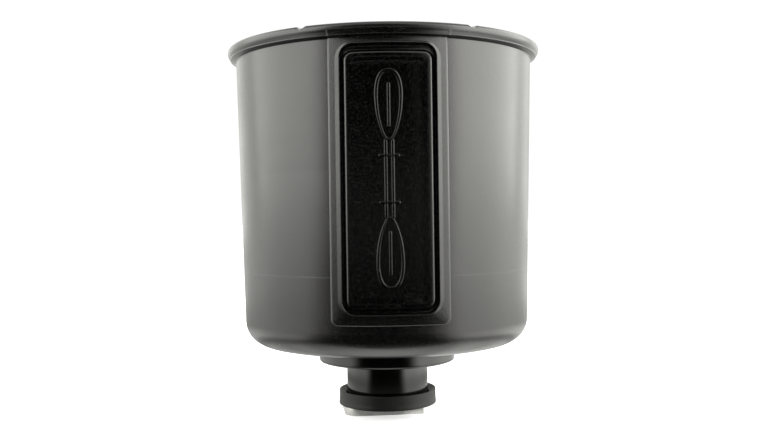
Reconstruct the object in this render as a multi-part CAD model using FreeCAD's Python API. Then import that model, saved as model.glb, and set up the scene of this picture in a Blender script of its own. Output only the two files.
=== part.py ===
import FreeCAD, Part
import math
import os

# Track-mounted cup holder, in millimetres.
# Z = 0 is the face of the rubber collar that seats on the track, +Z is up the cup,
# and the badge pad on the front faces -Y.

V = FreeCAD.Vector
ORIGIN = V(0, 0, 0)
UP = V(0, 0, 1)

# ---- driving dimensions -------------------------------------------------------
# cup wall: a straight taper between two heights
WALL_LOW_Z, WALL_LOW_R = 27.0, 49.0
WALL_HIGH_Z, WALL_HIGH_R = 120.0, 51.25
WALL_T = 2.3
CUP_BASE_Z = 21.8
FLOOR_T = 3.0
CORNER_R = 8.3

# rolled rim: its lip curls under from the belly to a lower edge that stands off the wall
RIM_UNDER_Z, RIM_TOP_Z = 119.4, 123.3
RIM_R = 54.0
RIM_BELLY_Z = 120.9
RIM_LIP_R = 53.0
RIM_LIP_EDGE_R, RIM_BELLY_EDGE_R = 0.3, 1.2
RIM_EDGE_R = 1.3
RIM_INNER_EDGE_R = 0.9
NOTCH_AZIMUTH = 29.4
NOTCH_W, NOTCH_D = 3.8, 1.3

# seat inside the mouth that the liner hangs on
SEAT_Z, SEAT_R = 119.0, 50.1

# raised badge pad on the front, with a recessed track round an inner panel
PAD_R = 51.6
PAD_HALF_W = 18.2
PAD_LOW_Z = 32.8
PAD_CORNER_R = 2.2
BEAD_HALF_W, BEAD_LOW_Z, BEAD_HIGH_Z = 15.7, 35.7, 117.8
BEAD_CORNER_R = 4.5
BEAD_R = 51.9
GROOVE_HALF_W, GROOVE_LOW_Z, GROOVE_HIGH_Z = 14.6, 36.2, 117.3
GROOVE_CORNER_R = 3.9
GROOVE_FLOOR_R = 50.5
PANEL_HALF_W, PANEL_LOW_Z, PANEL_HIGH_Z = 13.4, 38.0, 115.0
PANEL_CORNER_R = 2.7
PANEL_R = 51.5
FIELD_HALF_W, FIELD_LOW_Z, FIELD_HIGH_Z = 11.3, 40.0, 112.9
FIELD_CORNER_R = 2.2
FIELD_R = 51.2
EMBLEM_R = 51.5
EMBLEM_SHAFT_HALF_W = 0.6
EMBLEM_BLADE_HALF_W, EMBLEM_BLADE_L = 4.2, 22.0
EMBLEM_LOW_Z, EMBLEM_HIGH_Z = 43.6, 109.8

# holes in the cup floor
STUD_HOLE_R = 4.5
SCREW_COUNT, SCREW_PITCH_R = 4, 18.6
SCREW_HOLE_R = 2.3
DRAIN_COUNT, DRAIN_PITCH_R, DRAIN_R = 6, 33.0, 2.6

# soft grip liner
LINER_GAP = 0.4
LINER_T = 1.5
LINER_LOW_Z = 32.0
LINER_TOP_Z = 122.3
LINER_MOUTH_R = 46.0
LINER_BAND_LOW_Z = 111.0
LINER_RING_R = 49.7
FIN_COUNT = 8
FIN_LOW_Z, FIN_HIGH_Z = 72.0, 108.0
FIN_ROOT_R, FIN_TIP_R = 47.1, 34.0
FIN_SWEEP = 17.0
FIN_T = 1.8
FIN_SLOPE = 8.0

# rubber floor pad
FLOOR_PAD_R, FLOOR_PAD_T = 39.6, 2.0
FLOOR_PAD_HOLE_R = 9.0
FLOOR_PAD_RIBS = ((25.0, 26.2), (37.4, 38.6))
FLOOR_PAD_RIB_H = 0.6
HEAD_CLEARANCE_R = 4.6
DRAIN_CLEARANCE_R = 3.2

# track base: flange and neck in one moulding
FLANGE_R, FLANGE_LOW_Z = 23.8, 15.0
FLANGE_EDGE_R = 0.6
NECK_R, NECK_LOW_Z = 14.2, 1.9
NECK_ROOT_R = 0.6
NECK_BEAD_R, NECK_BEAD_LOW_Z, NECK_BEAD_HIGH_Z = 15.1, 2.3, 3.3
STUD_BORE_R = 3.6
PILOT_R, PILOT_LOW_Z = 2.05, 16.4

# captive nut and its retainer
NUT_AF, NUT_H = 11.1, 5.6
NUT_POCKET_GAP = 0.1
NUT_LOW_Z = 8.0
NUT_BORE_R = 3.2
RETAINER_R, RETAINER_TOP_Z, RETAINER_BORE_R = 7.4, 21.4, 3.7
RETAINER_GAP = 0.05

# screws that hold the base under the cup floor
SCREW_R, SCREW_LOW_Z = 2.0, 16.8
SCREW_HEAD_R, SCREW_HEAD_H = 4.0, 2.4
SCREW_RECESS_W, SCREW_RECESS_L, SCREW_RECESS_D = 0.9, 4.2, 1.2

# rubber collar and thrust washer round the foot of the neck
COLLAR_TOP_R, COLLAR_FOOT_R, COLLAR_H = 16.9, 17.1, 5.0
COLLAR_FLOOR_T, COLLAR_HOLE_R = 1.2, 6.2
COLLAR_BORE_R = 14.6
COLLAR_LIP_R, COLLAR_LAND_Z, COLLAR_LIP_EDGE_R = 16.6, 4.0, 0.15
COLLAR_GROOVE_R, COLLAR_GROOVE_LOW_Z, COLLAR_GROOVE_HIGH_Z = 15.5, 1.9, 3.7
COLLAR_EDGE_R = 0.4
WASHER_R, WASHER_T = 13.9, 0.6

# track bolt: a flat head, with two opposite corners rounded, on a threaded stud
HEAD_LENGTH, HEAD_WIDTH = 27.2, 15.6
HEAD_TOP_Z, HEAD_LOW_Z = -0.3, -3.2
HEAD_OFFSET = -1.8
HEAD_YAW = 4.8
HEAD_ROUND_R, HEAD_SQUARE_R = 5.0, 0.6
STUD_R, STUD_TOP_Z, STUD_CHAMFER = 3.15, 20.0, 0.6


# ---- helpers -----------------------------------------------------------------
def wall_r(z):
    """Outer radius of the cup's tapered wall at a height."""
    slope = (WALL_HIGH_R - WALL_LOW_R) / (WALL_HIGH_Z - WALL_LOW_Z)
    return WALL_LOW_R + (z - WALL_LOW_Z) * slope


def bore_r(z):
    """Inner radius of the cup's tapered wall at a height."""
    return wall_r(z) - WALL_T


def turned(points, rounds=None):
    """Solid of revolution about Z from (r, z) corners.

    rounds maps the index of a corner to the radius that rounds it.
    """
    rounds = rounds or {}
    corners = [V(r, 0, z) for r, z in points]
    edges = []
    ends = []
    for i, corner in enumerate(corners):
        radius = rounds.get(i, 0)
        if not radius:
            ends.append((corner, corner))
            continue
        back = (corners[i - 1] - corner).normalize()
        ahead = (corners[(i + 1) % len(corners)] - corner).normalize()
        half = back.getAngle(ahead) / 2
        reach = radius / math.tan(half)
        start = corner + back * reach
        stop = corner + ahead * reach
        middle_way = (back + ahead).normalize()
        middle = corner + middle_way * (radius / math.sin(half) - radius)
        edges.append(Part.Arc(start, middle, stop).toShape())
        ends.append((start, stop))
    for i, (_, stop) in enumerate(ends):
        start = ends[(i + 1) % len(ends)][0]
        if stop.distanceToPoint(start) > 1e-6:
            edges.append(Part.makeLine(stop, start))
    wire = Part.Wire(Part.__sortEdges__(edges))
    return Part.Face(wire).revolve(ORIGIN, UP, 360)


def ring(inner_r, outer_r, low_z, high_z):
    """Plain tube between two heights."""
    return turned([(inner_r, low_z), (outer_r, low_z), (outer_r, high_z), (inner_r, high_z)])


def disc(radius, low_z, high_z, x=0.0, y=0.0):
    """Upright cylinder."""
    return Part.makeCylinder(radius, high_z - low_z, V(x, y, low_z), UP)


def around(count, pitch_r, first_angle):
    """Points evenly spaced on a circle, as (x, y)."""
    places = []
    for i in range(count):
        angle = math.radians(first_angle + 360.0 * i / count)
        places.append((pitch_r * math.cos(angle), pitch_r * math.sin(angle)))
    return places


def rounded_outline(points, radii):
    """Closed wire through points, each corner rounded by its own radius."""
    edges = []
    ends = []
    for i, corner in enumerate(points):
        back = (points[i - 1] - corner).normalize()
        ahead = (points[(i + 1) % len(points)] - corner).normalize()
        half = back.getAngle(ahead) / 2
        reach = radii[i] / math.tan(half)
        start = corner + back * reach
        stop = corner + ahead * reach
        middle = corner + (back + ahead).normalize() * (radii[i] / math.sin(half) - radii[i])
        edges.append(Part.Arc(start, middle, stop).toShape())
        ends.append((start, stop))
    for i, (_, stop) in enumerate(ends):
        start = ends[(i + 1) % len(ends)][0]
        edges.append(Part.makeLine(stop, start))
    return Part.Wire(Part.__sortEdges__(edges))


def front_prism(half_w, low_z, high_z, corner_r):
    """Rounded rectangle seen from the front, pushed back from in front of the cup to its axis."""
    y = -(RIM_R + 1)
    points = [V(-half_w, y, low_z), V(half_w, y, low_z), V(half_w, y, high_z), V(-half_w, y, high_z)]
    face = Part.Face(rounded_outline(points, [corner_r] * 4))
    return face.extrude(V(0, -y, 0))


def front_layer(prism, inner_r, outer_r):
    """The part of a front prism that lies between two radii."""
    return prism.common(ring(inner_r, outer_r, 0, RIM_TOP_Z + 10))


def hexagon(across_flats, low_z, high_z):
    """Hexagonal prism with flats facing +X and -X."""
    radius = across_flats / 2 / math.cos(math.radians(30))
    points = []
    for i in range(6):
        angle = math.radians(30 + 60 * i)
        points.append(V(radius * math.cos(angle), radius * math.sin(angle), low_z))
    wire = Part.makePolygon(points + points[:1])
    return Part.Face(wire).extrude(V(0, 0, high_z - low_z))


# ---- cup shell ---------------------------------------------------------------
def cup_body():
    """Wall, floor and rolled rim, turned about Z."""
    floor_top = CUP_BASE_Z + FLOOR_T
    profile = [
        (STUD_HOLE_R, CUP_BASE_Z),
        (wall_r(CUP_BASE_Z), CUP_BASE_Z),
        (wall_r(RIM_UNDER_Z), RIM_UNDER_Z),
        (RIM_LIP_R, RIM_UNDER_Z),
        (RIM_R, RIM_BELLY_Z),
        (RIM_R, RIM_TOP_Z),
        (SEAT_R, RIM_TOP_Z),
        (SEAT_R, SEAT_Z),
        (bore_r(SEAT_Z), SEAT_Z),
        (bore_r(floor_top), floor_top),
        (STUD_HOLE_R, floor_top),
    ]
    rounds = {
        1: CORNER_R,
        3: RIM_LIP_EDGE_R,
        4: RIM_BELLY_EDGE_R,
        5: RIM_EDGE_R,
        6: RIM_INNER_EDGE_R,
        9: CORNER_R - WALL_T,
    }
    return turned(profile, rounds)


def badge_pad():
    """Raised pad that runs from below the rim down the front of the wall, with a low bead on it."""
    foot_z, over_top = PAD_LOW_Z - 1, RIM_UNDER_Z + PAD_CORNER_R + 0.5
    slab = front_prism(PAD_HALF_W, PAD_LOW_Z, over_top, PAD_CORNER_R)
    band = turned([
        (wall_r(foot_z) - WALL_T / 2, foot_z),
        (PAD_R, foot_z),
        (PAD_R, RIM_UNDER_Z + 0.5),
        (wall_r(RIM_UNDER_Z + 0.5) - WALL_T / 2, RIM_UNDER_Z + 0.5),
    ])
    bead = front_prism(BEAD_HALF_W, BEAD_LOW_Z, BEAD_HIGH_Z, BEAD_CORNER_R)
    return slab.common(band).fuse(front_layer(bead, PAD_R - 0.5, BEAD_R))


def emblem():
    """Plain double-bladed paddle, standing upright in the field of the panel."""
    middle = (EMBLEM_LOW_Z + EMBLEM_HIGH_Z) / 2
    y = -(RIM_R + 1)
    half_l = (EMBLEM_HIGH_Z - EMBLEM_LOW_Z) / 2
    shaft_l = 2 * (half_l - EMBLEM_BLADE_L) + 2
    shaft_foot = V(-EMBLEM_SHAFT_HALF_W, y, middle - shaft_l / 2)
    shaft = Part.makeBox(2 * EMBLEM_SHAFT_HALF_W, -y, shaft_l, shaft_foot)
    solid = shaft
    for side in (-1, 1):
        tip = V(0, y, middle + side * half_l)
        neck = V(0, y, middle + side * (half_l - EMBLEM_BLADE_L))
        belly = (tip + neck) * 0.5
        left = belly - V(EMBLEM_BLADE_HALF_W, 0, 0)
        right = belly + V(EMBLEM_BLADE_HALF_W, 0, 0)
        outline = Part.Wire([Part.Arc(tip, left, neck).toShape(), Part.Arc(neck, right, tip).toShape()])
        solid = solid.fuse(Part.Face(outline).extrude(V(0, -y, 0)))
    return front_layer(solid, FIELD_R - 0.5, EMBLEM_R)


def panel_cuts():
    """Material taken from the pad: the recessed track, the panel's face and its field."""
    track = front_prism(GROOVE_HALF_W, GROOVE_LOW_Z, GROOVE_HIGH_Z, GROOVE_CORNER_R)
    panel = front_prism(PANEL_HALF_W, PANEL_LOW_Z, PANEL_HIGH_Z, PANEL_CORNER_R)
    field = front_prism(FIELD_HALF_W, FIELD_LOW_Z, FIELD_HIGH_Z, FIELD_CORNER_R)
    proud = BEAD_R + 1
    return [
        front_layer(track.cut(panel), GROOVE_FLOOR_R, proud),
        front_layer(panel, PANEL_R, proud),
        front_layer(field, FIELD_R, proud),
    ]


def rim_notches():
    """Small V notches across the top of the rim, one each side of the pad."""
    cuts = []
    for side in (-1, 1):
        wire = Part.makePolygon([
            V(-NOTCH_W / 2, -RIM_R - 1, RIM_TOP_Z + 0.01),
            V(0, -RIM_R - 1, RIM_TOP_Z - NOTCH_D),
            V(NOTCH_W / 2, -RIM_R - 1, RIM_TOP_Z + 0.01),
            V(-NOTCH_W / 2, -RIM_R - 1, RIM_TOP_Z + 0.01),
        ])
        wedge = Part.Face(wire).extrude(V(0, RIM_R - SEAT_R + 2, 0))
        wedge.rotate(ORIGIN, UP, side * NOTCH_AZIMUTH)
        cuts.append(wedge)
    return cuts


def cup_shell():
    shell = cup_body().fuse(badge_pad())
    for cut in panel_cuts():
        shell = shell.cut(cut)
    shell = shell.fuse(emblem())
    for cut in rim_notches():
        shell = shell.cut(cut)
    floor_top = CUP_BASE_Z + FLOOR_T
    for x, y in around(SCREW_COUNT, SCREW_PITCH_R, 45):
        shell = shell.cut(disc(SCREW_HOLE_R, CUP_BASE_Z - 1, floor_top + 1, x, y))
    for x, y in around(DRAIN_COUNT, DRAIN_PITCH_R, 0):
        shell = shell.cut(disc(DRAIN_R, CUP_BASE_Z - 1, floor_top + 1, x, y))
    return shell.removeSplitter()


# ---- soft pieces inside the cup -------------------------------------------------
def fin(angle):
    """One curved, swept fin, sloped at both ends so that a can slides past it."""
    sweep = math.radians(FIN_SWEEP)
    middle_r = (FIN_ROOT_R + FIN_TIP_R) / 2

    def at(radius, turn, shift):
        return V(radius * math.cos(turn) - shift * math.sin(turn),
                 radius * math.sin(turn) + shift * math.cos(turn), FIN_LOW_Z)

    half = FIN_T / 2
    near = [at(FIN_ROOT_R, 0, -half), at(middle_r, sweep * 0.32, -half), at(FIN_TIP_R, sweep, -half * 0.8)]
    far = [at(FIN_ROOT_R, 0, half), at(middle_r, sweep * 0.32, half), at(FIN_TIP_R, sweep, half * 0.8)]
    tip_middle = at(FIN_TIP_R - half * 0.8, sweep, 0)
    outline = Part.Wire([
        Part.Arc(near[0], near[1], near[2]).toShape(),
        Part.Arc(near[2], tip_middle, far[2]).toShape(),
        Part.Arc(far[2], far[1], far[0]).toShape(),
        Part.makeLine(far[0], near[0]),
    ])
    blade = Part.Face(outline).extrude(V(0, 0, FIN_HIGH_Z - FIN_LOW_Z))
    envelope = turned([
        (FIN_TIP_R - 2, FIN_LOW_Z + FIN_SLOPE),
        (FIN_ROOT_R + 0.4, FIN_LOW_Z),
        (FIN_ROOT_R + 0.4, FIN_HIGH_Z),
        (FIN_TIP_R - 2, FIN_HIGH_Z - FIN_SLOPE),
    ])
    blade = blade.common(envelope)
    blade.rotate(ORIGIN, UP, angle)
    return blade


def grip_liner():
    """Removable sleeve that hangs in the mouth and carries the fins."""
    low_out = bore_r(LINER_LOW_Z) - LINER_GAP
    high_out = bore_r(SEAT_Z) - LINER_GAP
    band_in = LINER_MOUTH_R
    band_z = LINER_BAND_LOW_Z
    under_band_z = band_z - 2.0
    profile = [
        (low_out - LINER_T, LINER_LOW_Z),
        (low_out, LINER_LOW_Z),
        (high_out, SEAT_Z + 0.1),
        (LINER_RING_R, SEAT_Z + 0.1),
        (LINER_RING_R, LINER_TOP_Z),
        (band_in, LINER_TOP_Z),
        (band_in, band_z),
        (bore_r(under_band_z) - LINER_GAP - LINER_T, under_band_z),
    ]
    liner = turned(profile, {4: 0.6, 5: 0.6})
    fins = [fin(360.0 * (i + 0.5) / FIN_COUNT) for i in range(FIN_COUNT)]
    return liner.fuse(fins).removeSplitter()


def floor_pad():
    """Ribbed mat with openings over the screws, the drains and the stud."""
    low = CUP_BASE_Z + FLOOR_T
    high = low + FLOOR_PAD_T
    pad = ring(FLOOR_PAD_HOLE_R, FLOOR_PAD_R, low, high)
    pad = pad.fuse([ring(a, b, high, high + FLOOR_PAD_RIB_H) for a, b in FLOOR_PAD_RIBS])
    for x, y in around(SCREW_COUNT, SCREW_PITCH_R, 45):
        pad = pad.cut(disc(HEAD_CLEARANCE_R, low - 1, high + 1, x, y))
    for x, y in around(DRAIN_COUNT, DRAIN_PITCH_R, 0):
        pad = pad.cut(disc(DRAIN_CLEARANCE_R, low - 1, high + 1, x, y))
    return pad.removeSplitter()


# ---- track base ----------------------------------------------------------------
def track_base():
    """Flange under the cup floor and the neck that carries the nut."""
    profile = [
        (STUD_BORE_R, NECK_LOW_Z),
        (NECK_R, NECK_LOW_Z),
        (NECK_R, NECK_BEAD_LOW_Z),
        (NECK_BEAD_R, NECK_BEAD_LOW_Z),
        (NECK_BEAD_R, NECK_BEAD_HIGH_Z),
        (NECK_R, NECK_BEAD_HIGH_Z),
        (NECK_R, FLANGE_LOW_Z),
        (FLANGE_R, FLANGE_LOW_Z),
        (FLANGE_R, CUP_BASE_Z),
        (RETAINER_R + RETAINER_GAP, CUP_BASE_Z),
        (RETAINER_R + RETAINER_GAP, NUT_LOW_Z + NUT_H),
        (STUD_BORE_R, NUT_LOW_Z + NUT_H),
    ]
    base = turned(profile, {3: 0.4, 4: 0.4, 6: NECK_ROOT_R, 7: FLANGE_EDGE_R})
    pocket = hexagon(NUT_AF + 2 * NUT_POCKET_GAP, NUT_LOW_Z, NUT_LOW_Z + NUT_H + 0.5)
    base = base.cut(pocket)
    for x, y in around(SCREW_COUNT, SCREW_PITCH_R, 45):
        base = base.cut(disc(PILOT_R, PILOT_LOW_Z, CUP_BASE_Z + 1, x, y))
    return base.removeSplitter()


def hex_nut():
    nut = hexagon(NUT_AF, NUT_LOW_Z, NUT_LOW_Z + NUT_H)
    corner_r = NUT_AF / 2 / math.cos(math.radians(30))
    chamfer = 0.6
    blank = turned([
        (0, NUT_LOW_Z),
        (NUT_AF / 2, NUT_LOW_Z),
        (corner_r, NUT_LOW_Z + chamfer),
        (corner_r, NUT_LOW_Z + NUT_H - chamfer),
        (NUT_AF / 2, NUT_LOW_Z + NUT_H),
        (0, NUT_LOW_Z + NUT_H),
    ])
    return nut.common(blank).cut(disc(NUT_BORE_R, NUT_LOW_Z - 1, NUT_LOW_Z + NUT_H + 1))


def nut_retainer():
    """Plug pressed in over the nut, with a bore that the stud can pass."""
    low = NUT_LOW_Z + NUT_H
    profile = [
        (RETAINER_BORE_R, low),
        (RETAINER_R, low),
        (RETAINER_R, RETAINER_TOP_Z),
        (RETAINER_BORE_R, RETAINER_TOP_Z),
    ]
    return turned(profile, {2: 0.5, 3: 0.5})


def base_screws():
    """Four pan-head screws, from the cup floor down into the flange."""
    head_low = CUP_BASE_Z + FLOOR_T
    head_top = head_low + SCREW_HEAD_H
    screws = []
    for x, y in around(SCREW_COUNT, SCREW_PITCH_R, 45):
        screw = turned([
            (0, SCREW_LOW_Z),
            (SCREW_R, SCREW_LOW_Z),
            (SCREW_R, head_low),
            (SCREW_HEAD_R, head_low),
            (SCREW_HEAD_R, head_top),
            (0, head_top),
        ], {1: 1.0, 4: 1.4})
        for length, width in ((SCREW_RECESS_L, SCREW_RECESS_W), (SCREW_RECESS_W, SCREW_RECESS_L)):
            corner = V(-length / 2, -width / 2, head_top - SCREW_RECESS_D)
            screw = screw.cut(Part.makeBox(length, width, SCREW_RECESS_D + 1, corner))
        screw.translate(V(x, y, 0))
        screws.append(screw)
    return Part.makeCompound(screws)


# ---- collar, washer and bolt ------------------------------------------------------
def rubber_collar():
    """Cup-shaped rubber foot, captive on the neck's bead, with a sloping lead-in for it."""
    profile = [
        (COLLAR_HOLE_R, 0),
        (COLLAR_FOOT_R, 0),
        (COLLAR_TOP_R, 1.6),
        (COLLAR_TOP_R, COLLAR_H),
        (COLLAR_LIP_R, COLLAR_H),
        (COLLAR_BORE_R, COLLAR_LAND_Z),
        (COLLAR_BORE_R, COLLAR_GROOVE_HIGH_Z),
        (COLLAR_GROOVE_R, COLLAR_GROOVE_HIGH_Z),
        (COLLAR_GROOVE_R, COLLAR_GROOVE_LOW_Z),
        (COLLAR_BORE_R, COLLAR_GROOVE_LOW_Z),
        (COLLAR_BORE_R, COLLAR_FLOOR_T),
        (COLLAR_HOLE_R, COLLAR_FLOOR_T),
    ]
    return turned(profile, {1: COLLAR_EDGE_R, 3: COLLAR_LIP_EDGE_R})


def thrust_washer():
    """Slippery washer that lets the neck turn on the rubber."""
    return ring(COLLAR_HOLE_R, WASHER_R, COLLAR_FLOOR_T, COLLAR_FLOOR_T + WASHER_T)


def track_bolt():
    """Flat head that sits in the track's channel, with its stud."""
    half_l, half_w = HEAD_LENGTH / 2, HEAD_WIDTH / 2
    points = [
        V(HEAD_OFFSET - half_l, -half_w, HEAD_LOW_Z),
        V(HEAD_OFFSET + half_l, -half_w, HEAD_LOW_Z),
        V(HEAD_OFFSET + half_l, half_w, HEAD_LOW_Z),
        V(HEAD_OFFSET - half_l, half_w, HEAD_LOW_Z),
    ]
    radii = [HEAD_ROUND_R, HEAD_SQUARE_R, HEAD_ROUND_R, HEAD_SQUARE_R]
    head = Part.Face(rounded_outline(points, radii)).extrude(V(0, 0, HEAD_TOP_Z - HEAD_LOW_Z))
    stud = turned([
        (0, HEAD_LOW_Z + 1),
        (STUD_R, HEAD_LOW_Z + 1),
        (STUD_R, STUD_TOP_Z - STUD_CHAMFER),
        (STUD_R - STUD_CHAMFER, STUD_TOP_Z),
        (0, STUD_TOP_Z),
    ])
    bolt = head.fuse(stud).removeSplitter()
    bolt.rotate(ORIGIN, UP, HEAD_YAW)
    return bolt


# ---- write one STEP per node -------------------------------------------------------
MAKERS = (
    cup_shell,
    grip_liner,
    floor_pad,
    track_base,
    hex_nut,
    nut_retainer,
    base_screws,
    rubber_collar,
    thrust_washer,
    track_bolt,
)


def main():
    os.makedirs("parts", exist_ok=True)
    for maker in MAKERS:
        shape = maker()
        shape.exportStep(f"parts/{maker.__name__}.step")
        volume = shape.Volume / 1000
        print(f"{maker.__name__:15s} {volume:8.3f} cm3  valid {shape.isValid()}  solids {len(shape.Solids)}")


main()
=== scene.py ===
import math

import bmesh
import bpy
from mathutils import Matrix, Vector


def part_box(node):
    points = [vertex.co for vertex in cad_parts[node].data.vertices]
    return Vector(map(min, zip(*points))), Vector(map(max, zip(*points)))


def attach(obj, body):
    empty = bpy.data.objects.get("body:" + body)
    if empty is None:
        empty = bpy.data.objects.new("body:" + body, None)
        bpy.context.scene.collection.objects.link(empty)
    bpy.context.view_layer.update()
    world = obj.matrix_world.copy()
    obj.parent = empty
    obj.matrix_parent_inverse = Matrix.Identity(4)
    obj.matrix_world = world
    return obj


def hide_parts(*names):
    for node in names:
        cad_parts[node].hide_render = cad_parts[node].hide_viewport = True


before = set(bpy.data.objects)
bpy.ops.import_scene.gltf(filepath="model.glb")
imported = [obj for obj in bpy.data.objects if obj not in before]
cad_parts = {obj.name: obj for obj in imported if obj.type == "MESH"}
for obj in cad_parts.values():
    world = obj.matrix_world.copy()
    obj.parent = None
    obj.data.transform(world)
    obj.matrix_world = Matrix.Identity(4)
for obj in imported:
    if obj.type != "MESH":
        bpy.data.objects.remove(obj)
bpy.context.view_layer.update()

# Lengths in this script are millimetres until a mesh is made; MM turns them into metres.
MM = 0.001

# ---- the parts' sizes, read from the CAD parts' boxes ----
def low_high(node):
    """A CAD node's box as its low and high corners in millimetres."""
    low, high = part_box(node)
    return [v / MM for v in low], [v / MM for v in high]


SHELL_LOW, SHELL_HIGH = low_high("cup_shell")
BASE_LOW, BASE_HIGH = low_high("track_base")
COLLAR_HIGH = low_high("rubber_collar")[1]
LINER_LOW, LINER_HIGH = low_high("grip_liner")
PAD_LOW, PAD_HIGH = low_high("floor_pad")
NUT_LOW, NUT_HIGH = low_high("hex_nut")
PLUG_LOW, PLUG_HIGH = low_high("nut_retainer")
SCREWS_LOW, SCREWS_HIGH = low_high("base_screws")
WASHER_LOW, WASHER_HIGH = low_high("thrust_washer")
BOLT_LOW, BOLT_HIGH = low_high("track_bolt")

CUP_BASE_Z = SHELL_LOW[2]
RIM_TOP_Z = SHELL_HIGH[2]
RIM_R = -SHELL_LOW[0]
FLANGE_R = BASE_HIGH[0]

# the cup wall is a straight taper
WALL_LOW_Z, WALL_LOW_R = 27.0, 49.0
WALL_HIGH_Z, WALL_HIGH_R = 120.0, 51.25
WALL_T, FLOOR_T = 2.3, 3.0
CORNER_R = 8.3
SEAT_Z, SEAT_R = 119.0, 50.1
RIM_UNDER_Z, RIM_BELLY_Z, RIM_LIP_R = 119.4, 120.9, 53.0


def wall_r(z):
    """Outer radius of the cup wall at a height."""
    slope = (WALL_HIGH_R - WALL_LOW_R) / (WALL_HIGH_Z - WALL_LOW_Z)
    return WALL_LOW_R + (z - WALL_LOW_Z) * slope


# ---- outlines ----
# signs of a square's corners, anticlockwise
SQUARE = ((-1, -1), (1, -1), (1, 1), (-1, 1))


def rounded(corners, radii, arc_steps=8, support=0.25):
    """Closed outline through corners (a, b), with some corners rounded.

    radii maps a corner's index to its radius. Each straight stretch longer than four
    supports gets a point close to both of its ends, so that shading stays flat along it.
    """
    count = len(corners)
    stretches = []
    for i in range(count):
        here = Vector(corners[i])
        radius = radii.get(i, 0.0)
        if radius <= 0:
            stretches.append([here])
            continue
        back = (Vector(corners[i - 1]) - here).normalized()
        ahead = (Vector(corners[(i + 1) % count]) - here).normalized()
        half = back.angle(ahead) / 2
        reach = radius / math.tan(half)
        centre = here + (back + ahead).normalized() * (radius / math.sin(half))
        start = here + back * reach - centre
        stop = here + ahead * reach - centre
        turn = start.angle_signed(stop)
        points = []
        for k in range(arc_steps + 1):
            points.append(centre + Matrix.Rotation(-turn * k / arc_steps, 2) @ start)
        stretches.append(points)
    outline = []
    for i, points in enumerate(stretches):
        outline += points
        a, b = points[-1], stretches[(i + 1) % count][0]
        length = (b - a).length
        if length > 4 * support:
            outline.append(a.lerp(b, support / length))
            outline.append(b.lerp(a, support / length))
    return [(p.x, p.y) for p in outline]


def even_angles(count, extra=()):
    """Angles round a circle in degrees, evenly spaced, with some extra ones put in."""
    angles = {round(360.0 * i / count, 6) for i in range(count)}
    angles |= {round(a % 360.0, 6) for a in extra}
    return sorted(angles)


# ---- meshes ----
def linked(name, data):
    """A new object in the scene."""
    obj = bpy.data.objects.new(name, data)
    bpy.context.scene.collection.objects.link(obj)
    return obj


def mesh_object(name, points, faces, unit=MM):
    """A mesh in the scene; its points are in millimetres unless another unit is given."""
    mesh = bpy.data.meshes.new(name)
    mesh.from_pydata([tuple(c * unit for c in p) for p in points], [], faces)
    return linked(name, mesh)


def piece(name, points, faces, body, material, replaces=(), sharp_angle=35.0):
    """A mesh object that rides on a body and takes a finish."""
    obj = mesh_object(name, points, faces)
    tidy(obj, sharp_angle)
    obj.data.materials.append(material)
    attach(obj, body)
    if replaces:
        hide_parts(*replaces)
    return obj


def tidy(obj, sharp_angle):
    """Joins doubled points, turns every face outwards, and shades smooth between sharp edges."""
    bm = bmesh.new()
    bm.from_mesh(obj.data)
    bmesh.ops.remove_doubles(bm, verts=bm.verts, dist=0.000004)
    bmesh.ops.dissolve_degenerate(bm, edges=bm.edges, dist=0.000001)
    bmesh.ops.recalc_face_normals(bm, faces=bm.faces)
    bm.to_mesh(obj.data)
    bm.free()
    obj.data.shade_smooth()
    obj.data.set_sharp_from_angle(angle=math.radians(sharp_angle))


def turned(outline, angles, shape=None):
    """Points and faces of a closed (r, z) outline turned about Z.

    shape(angle, r, z) may return a changed (r, z) for a point at an angle in degrees.
    """
    points = []
    faces = []
    rows = len(outline)
    for angle in angles:
        c, s = math.cos(math.radians(angle)), math.sin(math.radians(angle))
        for r, z in outline:
            if shape:
                r, z = shape(angle, r, z)
            points.append((r * c, r * s, z))
    for i in range(len(angles)):
        j = (i + 1) % len(angles)
        for k in range(rows):
            m = (k + 1) % rows
            faces.append((i * rows + k, j * rows + k, j * rows + m, i * rows + m))
    return points, faces


def cut_holes(obj, cutters, sharp_angle=35.0):
    """Cuts closed cutter meshes, given as (points, faces), out of an object."""
    cutter = mesh_object("cutter", *merged(cutters))
    tidy(cutter, sharp_angle)
    modifier = obj.modifiers.new("holes", "BOOLEAN")
    modifier.operation = "DIFFERENCE"
    modifier.solver = "EXACT"
    modifier.object = cutter
    bpy.context.view_layer.update()
    depsgraph = bpy.context.evaluated_depsgraph_get()
    result = bpy.data.meshes.new_from_object(obj.evaluated_get(depsgraph))
    obj.modifiers.clear()
    spent = obj.data, cutter.data
    obj.data = result
    bpy.data.objects.remove(cutter)
    for mesh in spent:
        bpy.data.meshes.remove(mesh)
    tidy(obj, sharp_angle)


def merged(parts):
    """Several (points, faces) as one."""
    points, faces = [], []
    for some_points, some_faces in parts:
        start = len(points)
        points += some_points
        faces += [tuple(i + start for i in face) for face in some_faces]
    return points, faces


def peg(x, y, radius, low_z, high_z, sides=40):
    """A closed upright cylinder."""
    ring = around(sides, radius, 0)
    points = [(x + px, y + py, z) for z in (low_z, high_z) for px, py in ring]
    faces = [tuple(reversed(range(sides))), tuple(range(sides, 2 * sides))]
    for i in range(sides):
        j = (i + 1) % sides
        faces.append((i, j, sides + j, sides + i))
    return points, faces


def swung(x, y, turn):
    """A point turned about the origin by a number of radians."""
    return x * math.cos(turn) - y * math.sin(turn), x * math.sin(turn) + y * math.cos(turn)


def pegs(places, radius, low_z, high_z):
    """Upright cylinders at several (x, y) places."""
    return [peg(x, y, radius, low_z, high_z) for x, y in places]


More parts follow.
